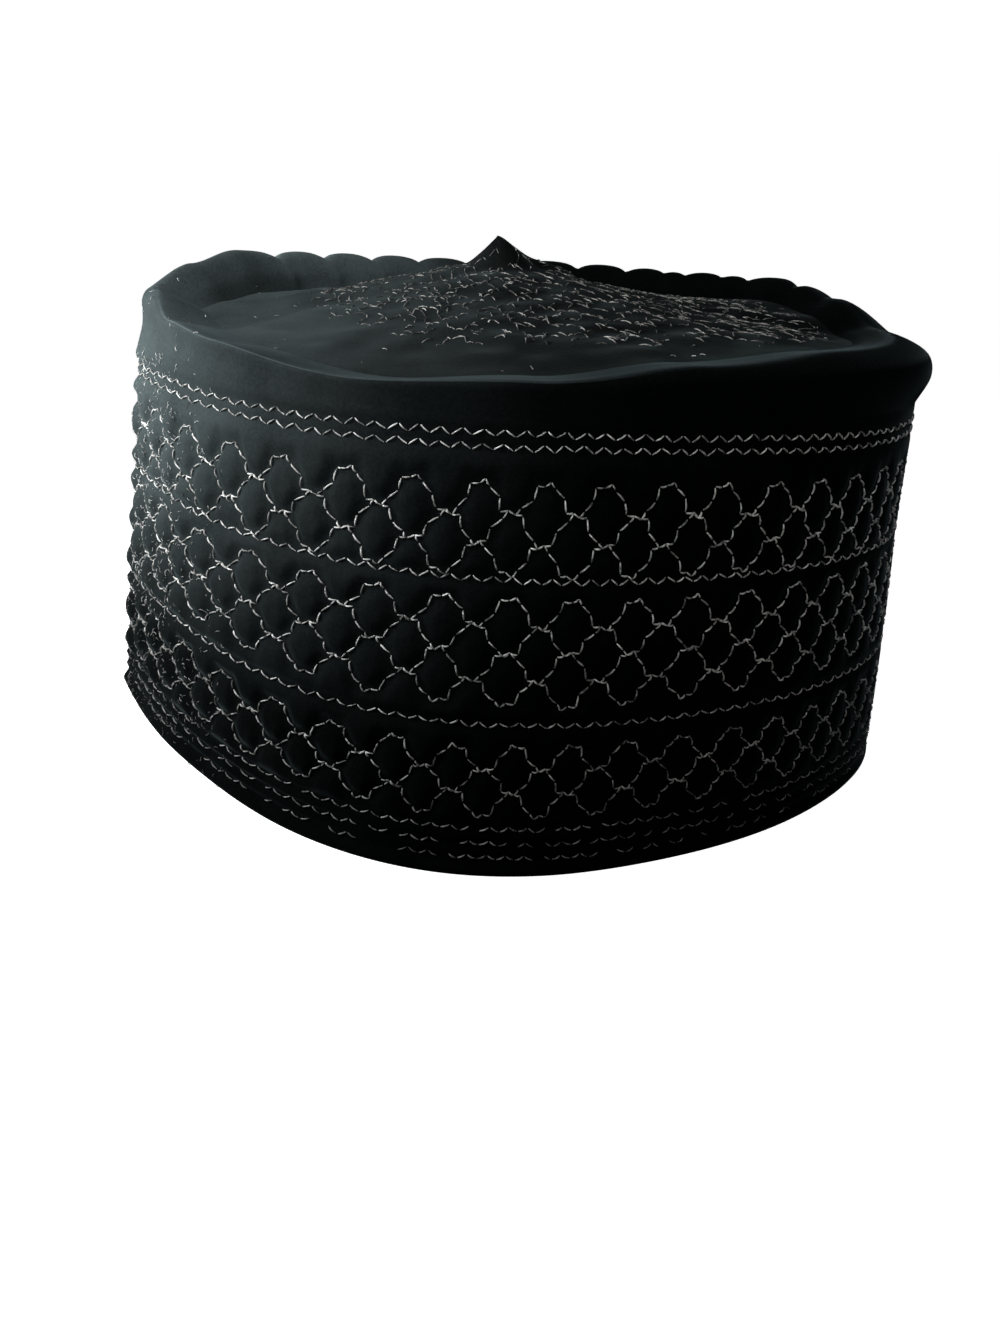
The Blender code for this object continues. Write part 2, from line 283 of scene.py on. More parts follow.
def quilted_band():
    x, y, walked = even_outline(BAND_COLUMNS)
    strip = strip_place(walked)[0]
    puff = RIGHT_PUFF + (LEFT_PUFF - RIGHT_PUFF) * (0.5 - 0.5 * x)
    heights = np.linspace(0.0, BAND_HEIGHT, BAND_ROWS)
    rings = []
    for height in heights:
        pulled = np.exp(-((stitch_distance(strip, slumped(walked, height)) / QUILT_ROUNDING) ** 2))
        rounding = HEM_ROUNDING * max(0.0, 1.0 - height / HEM_ROUNDING)
        flush = min(1.0, (BAND_HEIGHT - height) / FLUSH_HEIGHT)
        flush = flush * flush * (3.0 - 2.0 * flush)
        ring = wall_ring(x, y, height, 0.0)
        sag = wavering(ring[:-1], SAG_SIZE, SAG_HEIGHT, 3.0)
        out = QUILT_DEPTH * puff * (EVEN_PULL - pulled) + np.append(sag, sag[0])
        rings.append(wall_ring(x, y, height, flush * out - rounding))
    inner = [wall_ring(x, y, BAND_HEIGHT * share, -BAND_WALL) for share in INNER_SHARES]
    up = [slumped(walked, height) / BAND_HEIGHT for height in heights]
    up = np.array(up + [np.full_like(x, 2.0 + number) for number in range(len(inner) + 1)])
    across = np.tile(strip, (len(rings) + len(inner), 1))
    return cloth_grid("quilted_band", np.array(rings + inner), across, up, closed=True)


band = show("quilted_band", quilted_band())
print("quilted band:", len(band.data.polygons), "faces")

# %% [markdown]
# Above the band the velvet turns over in a soft roll. At the back it stands high and is gathered in pleats,
# at the front it is low and tucked to a sharp fold. Short tables say this: one goes round the cap by
# bearing, one lists the pleats by their turn from the middle of the back, and one goes over the roll from
# its seat to the seam of the crown. Smooth curves through the tables give the fine cloth.

# %% The roll's tables
ROLL_WIDTH = 0.016
ROLL_HEIGHT = 0.0240
ROLL_DROP = 0.0110
ROLL_REACH = 0.0030
CLOTH = 0.0015
PLEAT_DEPTH = 0.0021
PLEAT_SWELL = 0.0002
CREASE_WIDTH = 0.0032
CREASE_LEAN = 0.005
RollStation = namedtuple("RollStation", "bearing height drop reach pleat tuck")
ROLL_STATIONS = (
    RollStation(bearing=-165, height=0.32, drop=0.20, reach=-0.5, pleat=0.0, tuck=3.0),
    RollStation(bearing=-145, height=0.27, drop=0.20, reach=-0.2, pleat=0.0, tuck=3.8),
    RollStation(bearing=-118, height=0.18, drop=0.14, reach=0.0, pleat=0.0, tuck=3.8),
    RollStation(bearing=-95, height=0.28, drop=0.10, reach=0.0, pleat=0.0, tuck=3.4),
    RollStation(bearing=-75, height=0.42, drop=0.08, reach=0.0, pleat=0.0, tuck=2.2),
    RollStation(bearing=-50, height=0.52, drop=0.10, reach=0.1, pleat=0.0, tuck=1.5),
    RollStation(bearing=-12, height=0.60, drop=0.25, reach=1.0, pleat=0.0, tuck=1.1),
    RollStation(bearing=5, height=0.84, drop=0.45, reach=1.0, pleat=0.5, tuck=1.0),
    RollStation(bearing=25, height=1.00, drop=0.60, reach=0.7, pleat=1.0, tuck=1.0),
    RollStation(bearing=45, height=1.00, drop=0.70, reach=0.4, pleat=1.0, tuck=1.0),
    RollStation(bearing=75, height=1.00, drop=0.50, reach=0.3, pleat=1.0, tuck=1.0),
    RollStation(bearing=105, height=0.95, drop=0.60, reach=0.3, pleat=1.0, tuck=1.0),
    RollStation(bearing=135, height=0.95, drop=0.90, reach=0.1, pleat=1.0, tuck=1.0),
    RollStation(bearing=160, height=0.94, drop=0.95, reach=-0.2, pleat=1.0, tuck=1.0),
    RollStation(bearing=172, height=0.80, drop=0.80, reach=-0.4, pleat=0.4, tuck=1.2),
    RollStation(bearing=182, height=0.54, drop=0.40, reach=-0.5, pleat=0.0, tuck=1.8),
)
Pleat = namedtuple("Pleat", "turn depth")
PLEATS = (
    Pleat(turn=-0.230, depth=0.6),
    Pleat(turn=-0.200, depth=0.9),
    Pleat(turn=-0.164, depth=0.8),
    Pleat(turn=-0.146, depth=0.6),
    Pleat(turn=-0.122, depth=0.7),
    Pleat(turn=-0.108, depth=0.6),
    Pleat(turn=-0.083, depth=0.9),
    Pleat(turn=-0.050, depth=1.0),
    Pleat(turn=-0.013, depth=0.8),
    Pleat(turn=0.025, depth=0.8),
    Pleat(turn=0.058, depth=0.9),
    Pleat(turn=0.092, depth=1.0),
    Pleat(turn=0.128, depth=1.0),
    Pleat(turn=0.166, depth=1.0),
)
RollRow = namedtuple("RollRow", "inward reach rise drop pleat")
ROLL_SECTION = (
    RollRow(inward=0.00, reach=0.0, rise=0.00, drop=0.0, pleat=0.0),
    RollRow(inward=0.00, reach=1.0, rise=0.40, drop=0.0, pleat=0.5),
    RollRow(inward=0.13, reach=0.9, rise=0.78, drop=0.0, pleat=0.9),
    RollRow(inward=0.50, reach=0.2, rise=1.00, drop=0.0, pleat=1.0),
    RollRow(inward=0.82, reach=0.0, rise=1.00, drop=0.45, pleat=0.7),
    RollRow(inward=1.00, reach=0.0, rise=1.00, drop=1.0, pleat=0.0),
)

# %% [markdown]
# The crown is drawn as rings that close in on the peak. Its table gives, for each ring, the share of the
# way out from the peak and how much of the crown's rise and of the peak's rise it has. A low fold trails
# from the peak to the right.

# %% The crown's table
CROWN_RISE = 0.0098
PEAK_X = -0.002
PEAK_Y = 0.040
PEAK_RISE = 0.0091
RIDGE_RISE = 0.0030
RIDGE_LENGTH = 0.024
RIDGE_HALF_WIDTH = 0.006
CrownRow = namedtuple("CrownRow", "share rise peak")
CROWN_RINGS = (
    CrownRow(share=1.00, rise=0.00, peak=0.00),
    CrownRow(share=0.93, rise=0.03, peak=0.00),
    CrownRow(share=0.82, rise=0.11, peak=0.00),
    CrownRow(share=0.68, rise=0.25, peak=0.00),
    CrownRow(share=0.53, rise=0.45, peak=0.00),
    CrownRow(share=0.38, rise=0.70, peak=0.00),
    CrownRow(share=0.25, rise=0.90, peak=0.00),
    CrownRow(share=0.14, rise=0.99, peak=0.08),
    CrownRow(share=0.07, rise=1.00, peak=0.45),
    CrownRow(share=0.00, rise=1.00, peak=1.00),
)


def smooth_rows(table, count):
    """A curve through a table's rows, as count rows of numbers: each column eased by its neighbours."""
    rows = np.array(table, dtype=float)
    before = np.vstack([2.0 * rows[:1] - rows[1:2], rows[:-1]])
    after = np.vstack([rows[1:], 2.0 * rows[-1:] - rows[-2:-1]])
    slope = 0.5 * (after - before)
    place = np.linspace(0.0, len(rows) - 1.0, count)
    first = np.minimum(place.astype(int), len(rows) - 2)
    t = (place - first)[:, None]
    bend = rows[first] * (1.0 + 2.0 * t) * (1.0 - t) ** 2 + slope[first] * t * (1.0 - t) ** 2
    return bend + rows[first + 1] * t * t * (3.0 - 2.0 * t) + slope[first + 1] * t * t * (t - 1.0)


def stations_round(x, y):
    """The roll's shares at each point of the outline, eased between the two stations beside it."""
    bearing = np.degrees(np.arctan2(y, x))
    table = np.array(ROLL_STATIONS, dtype=float)
    full_turn = [[360.0, 0, 0, 0, 0, 0]]
    table = np.vstack([table[-1:] - full_turn, table, table[:1] + full_turn])
    bearing = np.where(bearing < table[0, 0], bearing + 360.0, bearing)
    last = np.clip(np.searchsorted(table[:, 0], bearing), 1, len(table) - 1)
    t = (bearing - table[last - 1, 0]) / (table[last, 0] - table[last - 1, 0])
    t = (t * t * (3.0 - 2.0 * t))[:, None]
    return (table[last - 1, 1:] + t * (table[last, 1:] - table[last - 1, 1:])).T


# %% [markdown]
# A pleat is a narrow crease that leans a little on its way down the inside of the roll. The cloth between
# two pleats swells a little. Their depth fades where the roll flattens towards the front.

# %% The rolled rim
TOP_COLUMNS = 560
ROLL_ROWS = 34


def creased(inward):
    """Depth of the pleats, 0 to 1, at each column of the roll, for a share of the way inward."""
    turn = (np.arange(TOP_COLUMNS + 1) / TOP_COLUMNS + 0.5) % 1.0 - 0.5
    depth = np.zeros(TOP_COLUMNS + 1)
    for pleat in PLEATS:
        away = (turn - pleat.turn) * TOP_ROUND + inward * CREASE_LEAN
        depth += pleat.depth * np.exp(-np.abs(away) / CREASE_WIDTH)
    return np.minimum(depth, 1.0)


def roll_rings():
    x, y, walked = even_outline(TOP_COLUMNS)
    height, drop, reach, pleat, tuck = stations_round(x, y)
    rings = []
    for row in (RollRow(*values) for values in smooth_rows(ROLL_SECTION, ROLL_ROWS)):
        deep = creased(row.inward)
        notch = row.pleat * pleat * (PLEAT_DEPTH * deep - PLEAT_SWELL * (1.0 - deep))
        inward = np.clip(row.inward, 0.0, 1.0) ** tuck
        inset = inward * ROLL_WIDTH - row.reach * reach * ROLL_REACH + notch
        level = BAND_HEIGHT + row.rise * height * ROLL_HEIGHT - row.drop * drop * ROLL_DROP - notch
        across = TOP_SHIFT + x * (0.5 * TOP_LENGTH - inset)
        rings.append(np.stack([across, y * (0.5 * TOP_DEPTH - inset), level], axis=-1))
    return np.array(rings), strip_place(walked)[0]


ROLL_RINGS, top_strip = roll_rings()
up = np.tile(np.linspace(0.0, 1.0, ROLL_ROWS)[:, None], (1, TOP_COLUMNS + 1))
roll_mesh = cloth_grid("rolled_rim", ROLL_RINGS, np.tile(top_strip, (ROLL_ROWS, 1)), up, closed=False)
roll = show("rolled_rim", roll_mesh)
print("rolled rim:", len(roll.data.polygons), "faces")

# %% [markdown]
# The crown starts at the roll's last ring, so the two meet without a gap. Only its middle is stitched, and
# the stitched part reaches further to the right than to the left. The UV map holds that: along it, 1 is the
# border of the stitched part, whatever the direction. The seam and the peak hold the cloth, so it puckers
# least beside them.

# %% The crown
CROWN_ROWS = 88
TIP_SHARE = 0.0015
STITCHED_LEFT = 0.66
STITCHED_RIGHT = 0.97
CROWN_RADIUS = 0.072
PUCKER_SIZE = 0.010
PUCKER_HEIGHT = 0.0009
SEAM_HOLD = 8.0
PEAK_HOLD = 6.0


def crown_rings(seam):
    level = seam[:-1, 2].mean()
    away_x = seam[:, 0] - PEAK_X
    away_y = seam[:, 1] - PEAK_Y
    rings = []
    for row in (CrownRow(*values) for values in smooth_rows(CROWN_RINGS, CROWN_ROWS)):
        share = max(row.share, TIP_SHARE)
        along = np.clip(away_x * share / RIDGE_LENGTH, 0.0, 1.0)
        beside = np.exp(-((away_y * share / RIDGE_HALF_WIDTH) ** 2))
        height = level + share * share * (seam[:, 2] - level) + row.rise * CROWN_RISE + row.peak * PEAK_RISE
        height = height + RIDGE_RISE * np.sqrt(np.abs(np.sin(math.pi * along))) * beside
        ring = np.stack([PEAK_X + away_x * share, PEAK_Y + away_y * share, height], axis=-1)
        held = min(1.0, SEAM_HOLD * (1.0 - share), PEAK_HOLD * share)
        pucker = wavering(ring[:-1], PUCKER_SIZE, PUCKER_HEIGHT * held, 5.0)
        ring[:, 2] += np.append(pucker, pucker[0])
        rings.append(ring)
    return np.array(rings)


crown = crown_rings(ROLL_RINGS[-1])
shares = np.maximum(smooth_rows(CROWN_RINGS, CROWN_ROWS)[:, :1], TIP_SHARE)
bearing = np.arctan2(ROLL_RINGS[-1][:, 1] - PEAK_Y, ROLL_RINGS[-1][:, 0] - PEAK_X)
reach = STITCHED_LEFT + (STITCHED_RIGHT - STITCHED_LEFT) * (0.5 + 0.5 * np.cos(bearing))
crown_up = shares / reach[None, :]
crown_mesh = cloth_grid("stitched_crown", crown, np.tile(top_strip, (CROWN_ROWS, 1)), crown_up, closed=False)
crown_piece = show("stitched_crown", crown_mesh)
print("stitched crown:", len(crown_piece.data.polygons), "faces")

# %% [markdown]
# Every line of thread is made by one Geometry Nodes tree. It lays a line of points along the flat strip,
# bends it into waves, swings every second point to the other side for the zigzag, and turns each step into
# a short arched thread that dives into the cloth at both ends. Sample UV Surface then carries each point to
# its place on the cloth, and lifts it along the cloth's own normal. Thousands of stitches follow the folds
# in this way, and a change of one input moves them all.

# %% Helpers: adding nodes


def put(tree, kind, feed=(), **settings):
    """Adds a node. feed gives its inputs, by number or by name, as sockets or as plain values."""
    made = tree.nodes.new(kind)
    for name, value in settings.items():
        setattr(made, name, value)
    for key, value in feed.items() if isinstance(feed, dict) else enumerate(feed):
        if isinstance(key, str):
            socket = next(socket for socket in made.inputs if socket.name == key and socket.enabled)
        else:
            socket = made.inputs[key]
        if isinstance(value, bpy.types.NodeSocket):
            tree.links.new(value, socket)
        else:
            socket.default_value = value
    return made


def shown(made, name=None):
    """The node's output of that name, or its first one that is in use."""
    return next(socket for socket in made.outputs if socket.enabled and name in (None, socket.name))


def maths(tree, operation, *values):
    return put(tree, "ShaderNodeMath", values, operation=operation).outputs[0]


def set_inputs(modifier, values):
    """Sets a Geometry Nodes modifier's inputs, found by name and set by their identifiers."""
    for item in modifier.node_group.interface.items_tree:
        if item.item_type == "SOCKET" and item.in_out == "INPUT" and item.name in values:
            modifier[item.identifier] = values[item.name]


def share_between(tree, value, none_at, full_at, least=0.0, most=1.0):
    """From least to most, while a value goes from none_at to full_at."""
    feed = {"Value": value, "From Min": none_at, "From Max": full_at, "To Min": least, "To Max": most}
    return put(tree, "ShaderNodeMapRange", feed).outputs["Result"]


def scaled(tree, vector, factor):
    made = put(tree, "ShaderNodeVectorMath", (vector,), operation="SCALE")
    tree.links.new(factor, made.inputs["Scale"])
    return made.outputs[0]


# %% Helpers: the start and the end of a tree
def new_tree(name, inputs):
    """A Geometry Nodes tree with inputs, named by kind, and the sockets that give them inside it."""
    tree = bpy.data.node_groups.new(name, "GeometryNodeTree")
    tree.interface.new_socket("Geometry", in_out="INPUT", socket_type="NodeSocketGeometry")
    for kind, titles in inputs.items():
        for title in titles:
            tree.interface.new_socket(title, in_out="INPUT", socket_type="NodeSocket" + kind)
    tree.interface.new_socket("Geometry", in_out="OUTPUT", socket_type="NodeSocketGeometry")
    return tree, tree.nodes.new("NodeGroupInput").outputs


def end_tree(tree, given, made, material):
    """Realizes what the tree made, gives it its material and joins it to what came in."""
    whole = put(tree, "GeometryNodeRealizeInstances", {"Geometry": shown(made)})
    finished = put(tree, "GeometryNodeSetMaterial", {"Geometry": shown(whole), "Material": material})
    joined = put(tree, "GeometryNodeJoinGeometry")
    tree.links.new(shown(finished), joined.inputs[0])
    tree.links.new(given["Geometry"], joined.inputs[0])
    tree.links.new(shown(joined), tree.nodes.new("NodeGroupOutput").inputs[0])


# %% [markdown]
# First comes the flat part. The wave is a cosine whose crests are rounded by a second, three times faster
# one. The zigzag swings square to the wave, so its slope is worked out too. Each end of a stitch wanders a
# little by chance, and whole stretches drift together, as they do when cloth is fed by hand.

# %% Where the stitches begin and end on the flat strip
DRIFT_SIZE = 0.012


def wave_line(tree, given, place):
    """Rise of the wave, and its slope, at a share of the way along the strip."""
    turns = maths(tree, "SUBTRACT", maths(tree, "MULTIPLY", place, given["Waves"]), given["Wave Start"])
    angle = maths(tree, "MULTIPLY", turns, 2.0 * math.pi)
    swell = maths(tree, "MULTIPLY", given["Wave Height"], 0.5)
    third = maths(tree, "MULTIPLY", angle, 3.0)
    flat_crest = maths(tree, "MULTIPLY", maths(tree, "COSINE", third), given["Crest Rounding"])
    wave = maths(tree, "MULTIPLY", swell, maths(tree, "SUBTRACT", maths(tree, "COSINE", angle), flat_crest))
    pull = maths(tree, "MULTIPLY", given["Waves"], -2.0 * math.pi)
    pull = maths(tree, "DIVIDE", pull, given["Strip Length"])
    steep = maths(tree, "MULTIPLY", given["Crest Rounding"], 3.0)
    steep = maths(tree, "MULTIPLY", maths(tree, "SINE", third), steep)
    turned = maths(tree, "SUBTRACT", maths(tree, "SINE", angle), steep)
    return wave, maths(tree, "MULTIPLY", maths(tree, "MULTIPLY", swell, pull), turned)


def stitch_ends(tree, given):
    """Ends of the stitches on the flat strip: x along it and z up it."""
    count = given["Stitches"]
    index = put(tree, "GeometryNodeInputIndex").outputs[0]
    place = maths(tree, "DIVIDE", index, count)
    wave, slope = wave_line(tree, given, place)
    upright = maths(tree, "INVERSE_SQRT", maths(tree, "MULTIPLY_ADD", slope, slope, 1.0))
    side = maths(tree, "MULTIPLY_ADD", maths(tree, "MODULO", index, 2.0), 2.0, -1.0)
    swing = maths(tree, "MULTIPLY", maths(tree, "MULTIPLY", side, given["Swing"]), upright)

    wander = []
    for step in (0, 1):
        name = maths(tree, "MODULO", index, count)
        seed = maths(tree, "ADD", given["Seed"], 100.0 * step)
        chance = put(tree, "FunctionNodeRandomValue", {"Min": -1.0, "Max": 1.0, "ID": name, "Seed": seed})
        wander.append(maths(tree, "MULTIPLY", shown(chance), given["Wander"]))
    along = maths(tree, "MULTIPLY", place, given["Strip Length"])
    along = maths(tree, "SUBTRACT", along, maths(tree, "MULTIPLY", slope, swing))
    along = maths(tree, "ADD", along, wander[0])
    level = maths(tree, "ADD", maths(tree, "ADD", given["Line Height"], wave), swing)
    level = maths(tree, "ADD", level, wander[1])
    flat = put(tree, "ShaderNodeCombineXYZ", (along, 0.0, level)).outputs[0]
    roam = put(tree, "ShaderNodeTexNoise", {"Vector": flat, "Scale": 1.0 / DRIFT_SIZE, "Detail": 0.0})
    roam = put(tree, "ShaderNodeVectorMath", (shown(roam, "Color"), (0.5, 0.5, 0.5)), operation="SUBTRACT")
    drift = scaled(tree, roam.outputs[0], given["Drift"])
    return put(tree, "ShaderNodeVectorMath", (flat, drift), operation="ADD").outputs[0]


# %% [markdown]
# Then the points go to the cloth. A point's place on the strip, as shares of its length and its height, is
# a place in the cloth's UV map, so sampling there gives both its position and the cloth's normal.

# %% From the flat strip to the cloth
def carried(tree, given):
    """Position and normal on the cloth, for points that lie on the flat strip."""
    spot = put(tree, "ShaderNodeSeparateXYZ", (put(tree, "GeometryNodeInputPosition").outputs[0],)).outputs
    round_it = maths(tree, "FRACT", maths(tree, "DIVIDE", spot[0], given["Strip Length"]))
    rise = maths(tree, "DIVIDE", spot[2], given["Strip Height"])
    on_strip = put(tree, "ShaderNodeCombineXYZ", (round_it, rise, 0.0)).outputs[0]
    cloth = put(tree, "GeometryNodeObjectInfo", {"Object": given["Cloth"]})
    strip = put(tree, "GeometryNodeInputNamedAttribute", {"Name": "strip"}, data_type="FLOAT_VECTOR")
    found = []
    for kind in ("GeometryNodeInputPosition", "GeometryNodeInputNormal"):
        feed = {
            "Mesh": shown(cloth, "Geometry"),
            "Value": put(tree, kind).outputs[0],
            "UV Map": shown(strip),
            "Sample UV": on_strip,
        }
        found.append(shown(put(tree, "GeometryNodeSampleUVSurface", data_type="FLOAT_VECTOR", feed=feed)))
    return found


# %% The tree that sews a line of stitches
THREAD_POINTS = 5
THREAD_SIDES = 4
THREAD_SINK = 0.45
THREAD_INPUTS = {
    "Object": ("Cloth",),
    "Int": ("Stitches", "Waves", "Seed"),
    "Float": (
        "Wave Start", "Line Height", "Wave Height", "Crest Rounding", "Strip Length", "Strip Height",
        "Swing", "Wander", "Drift", "Missing Share", "Thread Radius", "Arch",
    ),
    "Material": ("Thread",),
}


def sewing_tree():
    tree, given = new_tree("sewn_line", THREAD_INPUTS)
    count = maths(tree, "ADD", given["Stitches"], 1.0)
    points = put(tree, "GeometryNodeMeshLine", {"Count": count, "Offset": (0, 0, 0)})
    feed = {"Geometry": shown(points), "Position": stitch_ends(tree, given)}
    line = put(tree, "GeometryNodeSetPosition", feed)
    feed = {"Probability": given["Missing Share"], "Seed": given["Seed"]}
    missing = put(tree, "FunctionNodeRandomValue", feed, data_type="BOOLEAN")
    feed = {"Geometry": shown(line), "Selection": shown(missing)}
    kept = put(tree, "GeometryNodeDeleteGeometry", feed, domain="EDGE")
    single = put(tree, "GeometryNodeSplitEdges", {"Mesh": shown(kept)})
    stitch = put(tree, "GeometryNodeMeshToCurve", {"Mesh": shown(single)})
    stitch = put(tree, "GeometryNodeResampleCurve", {"Curve": shown(stitch), "Count": THREAD_POINTS})

    position, normal = carried(tree, given)
    part = shown(put(tree, "GeometryNodeSplineParameter"), "Factor")
    bow = maths(tree, "MULTIPLY", maths(tree, "MULTIPLY", part, maths(tree, "SUBTRACT", 1.0, part)), 4.0)
    lift = maths(tree, "MULTIPLY", maths(tree, "SUBTRACT", bow, THREAD_SINK), given["Arch"])
    raised = scaled(tree, normal, lift)
    sewn_at = put(tree, "ShaderNodeVectorMath", (position, raised), operation="ADD").outputs[0]
    sewn = put(tree, "GeometryNodeSetPosition", {"Geometry": shown(stitch), "Position": sewn_at})

    feed = {"Resolution": THREAD_SIDES, "Radius": given["Thread Radius"]}
    profile = shown(put(tree, "GeometryNodeCurvePrimitiveCircle", feed))
    thickness = maths(tree, "MULTIPLY_ADD", bow, 0.5, 0.5)
    feed = {"Curve": shown(sewn), "Profile Curve": profile, "Scale": thickness, "Fill Caps": True}
    tube = put(tree, "GeometryNodeCurveToMesh", feed)
    smooth = put(tree, "GeometryNodeSetShadeSmooth", {"Geometry": shown(tube)})
    end_tree(tree, given, smooth, given["Thread"])
    return tree


SEWING = sewing_tree()
print("sewing tree:", len(SEWING.nodes), "nodes")

# %% [markdown]
# The finishes are all procedural. Velvet swallows nearly all light that falls straight on it, and glows
# where it is seen along its pile: a very dark base with a sheen lobe does both. Small noise on the Object
# coordinates gives the pile and its soft patches. The base is painted lighter towards the top of the left
# end, most of all towards its back: painted light, for the light from the left. On the sharp fold at the
# front of the roll a painted highlight draws a thin pale line. A range below says where a share starts,
# where it is full and, if it doesn't go from 0 to 1, its least and its most. The thread is a light grey,
# with fine flecks of painted glint. It gets darker towards the hem: painted shade, where light is weakest.

# %% Helpers: materials
def new_material(name, settings):
    """A material with these constants on its shader, its node tree and the shader."""
    material = bpy.data.materials.new(name)
    material.use_nodes = True
    shader = material.node_tree.nodes["Principled BSDF"]
    for title, value in settings.items():
        shader.inputs[title].default_value = value
    return material, material.node_tree, shader


def noise_at(tree, place, scale, detail=1.0, roughness=0.5):
    feed = {"Vector": place, "Scale": scale, "Detail": detail, "Roughness": roughness}
    return put(tree, "ShaderNodeTexNoise", feed).outputs["Fac"]


def mixed(tree, first, second, first_share):
    """Two noises as one, the first with the given share."""
    return maths(tree, "ADD", maths(tree, "MULTIPLY", first, first_share),
                 maths(tree, "MULTIPLY", second, 1.0 - first_share))


def coloured(tree, share, dark_at, dark, light_at, light):
    """Colour for a share, from dark to light between two places."""
    ramp = put(tree, "ShaderNodeValToRGB", {"Fac": share})
    for element, place, colour in zip(ramp.color_ramp.elements, (dark_at, light_at), (dark, light)):
        element.position = place
        element.color = (*colour, 1.0)
    return ramp.outputs["Color"]


def add_bump(tree, shader, height, strength, distance):
    feed = {"Strength": strength, "Distance": distance, "Height": height}
    tree.links.new(put(tree, "ShaderNodeBump", feed).outputs["Normal"], shader.inputs["Normal"])


# %% The velvets
# Painted light: the base turns towards this grey at the top of the left end, and along the roll's fold.
PAINTED_LIGHT_GREY = (0.040, 0.051, 0.053)
PAINTED_LIGHT_LEFT = (0.010, -0.095)
PAINTED_LIGHT_POWER = 1.7
PAINTED_LIGHT_HIGH = (0.028, 0.088, 0.05, 1.0)
PAINTED_LIGHT_BACK = (0.012, 0.065, 1.0, 4.6)
# Painted highlight: a thin pale line along the sharp fold at the front of the roll.
FOLD_HIGHLIGHT_PLACE = 0.585
FOLD_HIGHLIGHT_HALF_WIDTH = 0.028
FOLD_HIGHLIGHT_LEFT = (0.016, -0.030)
FOLD_HIGHLIGHT_FRONT = (-0.004, -0.020)
SHEEN_TINT = (0.72, 0.95, 1.0)


def painted_light_share(tree, place):
    """Share of painted light on the base: most at the top of the left end, and above 1 towards its back."""
    spot = put(tree, "ShaderNodeSeparateXYZ", (place,)).outputs
    left = maths(tree, "POWER", share_between(tree, spot[0], *PAINTED_LIGHT_LEFT), PAINTED_LIGHT_POWER)
    high = share_between(tree, spot[2], *PAINTED_LIGHT_HIGH)
    back = share_between(tree, spot[1], *PAINTED_LIGHT_BACK)
    return maths(tree, "MULTIPLY", maths(tree, "MULTIPLY", left, high), back)


def fold_highlight_share(tree, place):
    """0 to 1: how near a spot is to the sharp fold at the front of the roll, where a painted highlight lies.
    """
    over = put(tree, "ShaderNodeUVMap", uv_map="strip").outputs["UV"]
    over = put(tree, "ShaderNodeSeparateXYZ", (over,)).outputs[1]
    spot = put(tree, "ShaderNodeSeparateXYZ", (place,)).outputs
    away = maths(tree, "ABSOLUTE", maths(tree, "SUBTRACT", over, FOLD_HIGHLIGHT_PLACE))
    share = share_between(tree, away, FOLD_HIGHLIGHT_HALF_WIDTH, 0.0)
    for axis, reach in ((0, FOLD_HIGHLIGHT_LEFT), (1, FOLD_HIGHLIGHT_FRONT)):
        share = maths(tree, "MULTIPLY", share, share_between(tree, spot[axis], *reach))
    return share


def velvet(name, dark, light, sheen, painted_fold_highlight=False):
    """Velvet whose pile lies in soft patches, with fine grain in the bump."""
    material, tree, shader = new_material(name, {
        "Roughness": 0.9,
        "Specular IOR Level": 0.0,
        "Sheen Weight": sheen,
        "Sheen Roughness": 0.30,
        "Sheen Tint": (*SHEEN_TINT, 1.0),
    })
    place = put(tree, "ShaderNodeTexCoord").outputs["Object"]
    grain = noise_at(tree, place, 1400.0, 2.0, 0.7)
    pile = mixed(tree, noise_at(tree, place, 60.0, 3.0, 0.6), grain, 0.55)
    # Painted light: the base gets lighter grey at the top of the left end and towards its back.
    painted_light = painted_light_share(tree, place)
    # Painted highlight along the roll's fold, added to the painted light.
    if painted_fold_highlight:
        painted_light = maths(tree, "ADD", painted_light, fold_highlight_share(tree, place))
    painted_light = maths(tree, "MULTIPLY", painted_light, maths(tree, "MULTIPLY", pile, 2.0))
    base = (PAINTED_LIGHT_GREY, painted_light, coloured(tree, pile, 0.38, dark, 0.66, light))
    base = put(tree, "ShaderNodeVectorMath", base, operation="MULTIPLY_ADD").outputs[0]
    tree.links.new(base, shader.inputs["Base Color"])
    add_bump(tree, shader, grain, 0.35, 0.0003)
    return material


QUILTED = velvet("quilted_velvet_finish", (0.0008, 0.0010, 0.0010), (0.0024, 0.0028, 0.0028), 0.09)
PLAIN = velvet("plain_velvet_finish", (0.0008, 0.0010, 0.0010), (0.0020, 0.0024, 0.0024), 0.09, painted_fold_highlight=True)
CROWN = velvet("stitched_velvet_finish", (0.0010, 0.0011, 0.0010), (0.0034, 0.0034, 0.0031), 0.08)
for piece, finish in ((band, QUILTED), (roll, PLAIN), (crown_piece, CROWN)):
    piece.data.materials.append(finish)
    print(piece.name + ":", finish.name)

# %% The thread
BRIGHT_SPAN = 0.24
HEM_DARKENING = (0.0, 0.05, 0.25, 1.0)


